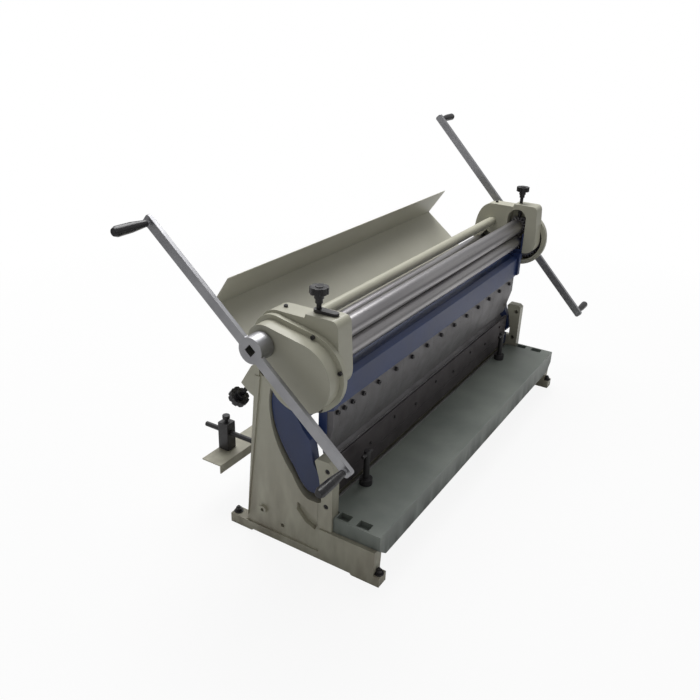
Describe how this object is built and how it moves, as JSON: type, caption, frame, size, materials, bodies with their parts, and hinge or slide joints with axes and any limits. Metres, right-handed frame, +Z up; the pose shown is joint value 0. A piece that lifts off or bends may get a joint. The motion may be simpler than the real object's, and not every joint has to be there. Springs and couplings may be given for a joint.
{
  "type": "sheet metal brake",
  "caption": "Hand-cranked sheet metal machine: finger press brake, shear with table and geared slip rolls between two cast end frames.",
  "frame": {"origin": "on the floor plane under the feet, midway between the end frames and midway between their front and rear feet", "axes": "+X along the machine to the right seen from the table side, +Y to the rear where the tray and back gauge are, +Z up"},
  "size_m": [1.47, 0.5736, 0.7848],
  "materials": {
    "cream_paint": "semi-gloss",
    "blue_paint": "semi-gloss",
    "grey_green_paint": "satin",
    "bright_steel": "ground",
    "dark_steel": "oiled",
    "black_steel": "semi-gloss",
    "black_plastic": "gloss"
  },
  "bodies": {
    "frame": {"bed_beam": "cream_paint", "v_die": "dark_steel", "work_table": "grey_green_paint", "lower_shear_blade": "bright_steel", "sheet_tray": "cream_paint", "left_end_frame": "cream_paint", "left_roll_housing": "cream_paint", "left_gear_cover": "cream_paint", "left_guide_post": "cream_paint", "left_gauge_rod": "black_steel", "right_end_frame": "cream_paint", "right_roll_housing": "cream_paint", "right_gear_cover": "cream_paint", "right_guide_post": "cream_paint", "right_gauge_rod": "black_steel"},
    "ram": {"ram_beam": "blue_paint", "left_ram_plate": "blue_paint", "right_ram_plate": "blue_paint", "blade_carrier": "dark_steel", "upper_shear_blade": "dark_steel", "finger_die_01": "dark_steel", "finger_die_02": "dark_steel", "finger_die_03": "dark_steel", "finger_die_04": "dark_steel", "finger_die_05": "dark_steel", "finger_die_06": "dark_steel", "finger_die_07": "dark_steel", "finger_die_08": "dark_steel", "finger_die_09": "dark_steel", "finger_die_10": "dark_steel", "finger_die_11": "dark_steel", "finger_die_12": "dark_steel", "finger_die_13": "dark_steel", "finger_die_14": "dark_steel", "finger_die_15": "dark_steel"},
    "lower_roll_set": {"lower_roll": "bright_steel", "left_bull_gear": "dark_steel", "right_bull_gear": "dark_steel"},
    "crank_set": {"crank_shaft": "cream_paint", "left_crank": "bright_steel", "right_crank": "bright_steel"},
    "roll_bearings": {"left_bearing_block": "dark_steel", "right_bearing_block": "dark_steel"},
    "upper_roll_set": {"upper_roll": "bright_steel"},
    "rear_carriage": {"rear_roll_carriage": "dark_steel"},
    "rear_roll_set": {"rear_roll": "bright_steel"},
    "latch": {"latch_bar": "black_steel"},
    "back_gauge": {"back_gauge_bar": "cream_paint", "left_gauge_clamp": "black_steel", "right_gauge_clamp": "black_steel"},
    "left_upper_handle": {"left_upper_grip": "black_plastic"},
    "left_lower_handle": {"left_lower_grip": "black_plastic"},
    "left_top_screw": {"left_roll_knob": "black_plastic"},
    "left_rear_screw": {"left_rear_knob": "black_plastic"},
    "left_hold_down": {"left_hold_down_screw": "black_steel"},
    "right_upper_handle": {"right_upper_grip": "black_plastic"},
    "right_lower_handle": {"right_lower_grip": "black_plastic"},
    "right_top_screw": {"right_roll_knob": "black_plastic"},
    "right_rear_screw": {"right_rear_knob": "black_plastic"},
    "right_hold_down": {"right_hold_down_screw": "black_steel"}
  },
  "joints": [
    {"name": "ram_stroke", "type": "slide", "parent": "frame", "child": "ram", "axis": [0, 0, 1], "range_m": [-0.014, 0]},
    {"name": "lower_roll_turn", "type": "hinge", "parent": "frame", "child": "lower_roll_set", "pos_m": [0, -0.028, 0.457], "axis": [1, 0, 0], "continuous": true},
    {"name": "crank_turn", "type": "hinge", "parent": "frame", "child": "crank_set", "pos_m": [0, 0.05, 0.50765], "axis": [1, 0, 0], "continuous": true},
    {"name": "upper_roll_lift", "type": "slide", "parent": "frame", "child": "roll_bearings", "axis": [0, 0, 1], "range_m": [-0.0006, 0.004]},
    {"name": "upper_roll_turn", "type": "hinge", "parent": "roll_bearings", "child": "upper_roll_set", "pos_m": [0, -0.028, 0.5022], "axis": [1, 0, 0], "continuous": true},
    {"name": "rear_roll_lift", "type": "slide", "parent": "frame", "child": "rear_carriage", "axis": [0, -0.6293, 0.7771], "range_m": [0, 0.028]},
    {"name": "rear_roll_turn", "type": "hinge", "parent": "rear_carriage", "child": "rear_roll_set", "pos_m": [0, 0.084, 0.436], "axis": [1, 0, 0], "continuous": true},
    {"name": "latch_swing", "type": "hinge", "parent": "frame", "child": "latch", "pos_m": [-0.541, -0.028, 0.5723], "axis": [0, 0, 1], "range_deg": [0, 90]},
    {"name": "back_gauge_slide", "type": "slide", "parent": "frame", "child": "back_gauge", "axis": [0, 1, 0], "range_m": [-0.085, 0.044]},
    {"name": "left_upper_grip_spin", "type": "hinge", "parent": "crank_set", "child": "left_upper_handle", "pos_m": [-0.7, 0.28497, 0.70832], "axis": [1, 0, 0], "continuous": true},
    {"name": "left_lower_grip_spin", "type": "hinge", "parent": "crank_set", "child": "left_lower_handle", "pos_m": [-0.7, -0.16215, 0.32645], "axis": [1, 0, 0], "continuous": true},
    {"name": "left_top_screw_turn", "type": "hinge", "parent": "roll_bearings", "child": "left_top_screw", "pos_m": [-0.541, -0.028, 0.56], "axis": [0, 0, 1], "range_deg": [-144, 960]},
    {"name": "left_rear_screw_turn", "type": "hinge", "parent": "rear_carriage", "child": "left_rear_screw", "pos_m": [-0.541, 0.084, 0.436], "axis": [0, -0.6293, 0.7771], "range_deg": [0, 5040]},
    {"name": "left_hold_down_turn", "type": "hinge", "parent": "frame", "child": "left_hold_down", "pos_m": [-0.4, -0.067, 0.15], "axis": [0, 0, 1], "continuous": true},
    {"name": "right_upper_grip_spin", "type": "hinge", "parent": "crank_set", "child": "right_upper_handle", "pos_m": [0.7, 0.30748, 0.77057], "axis": [1, 0, 0], "continuous": true},
    {"name": "right_lower_grip_spin", "type": "hinge", "parent": "crank_set", "child": "right_lower_handle", "pos_m": [0.7, -0.22147, 0.23043], "axis": [1, 0, 0], "continuous": true},
    {"name": "right_top_screw_turn", "type": "hinge", "parent": "roll_bearings", "child": "right_top_screw", "pos_m": [0.541, -0.028, 0.56], "axis": [0, 0, 1], "range_deg": [-144, 960]},
    {"name": "right_rear_screw_turn", "type": "hinge", "parent": "rear_carriage", "child": "right_rear_screw", "pos_m": [0.541, 0.084, 0.436], "axis": [0, -0.6293, 0.7771], "range_deg": [0, 5040]},
    {"name": "right_hold_down_turn", "type": "hinge", "parent": "frame", "child": "right_hold_down", "pos_m": [0.4, -0.067, 0.15], "axis": [0, 0, 1], "continuous": true}
  ],
  "couplings": [
    {"joint": "crank_turn", "follows": "lower_roll_turn", "ratio": -2.1},
    {"joint": "upper_roll_turn", "follows": "lower_roll_turn", "ratio": -1},
    {"joint": "left_top_screw_turn", "follows": "upper_roll_lift", "rad_per_m": 4188.8},
    {"joint": "left_rear_screw_turn", "follows": "rear_roll_lift", "rad_per_m": 3141.6},
    {"joint": "right_top_screw_turn", "follows": "upper_roll_lift", "rad_per_m": 4188.8},
    {"joint": "right_rear_screw_turn", "follows": "rear_roll_lift", "rad_per_m": 3141.6}
  ]
}
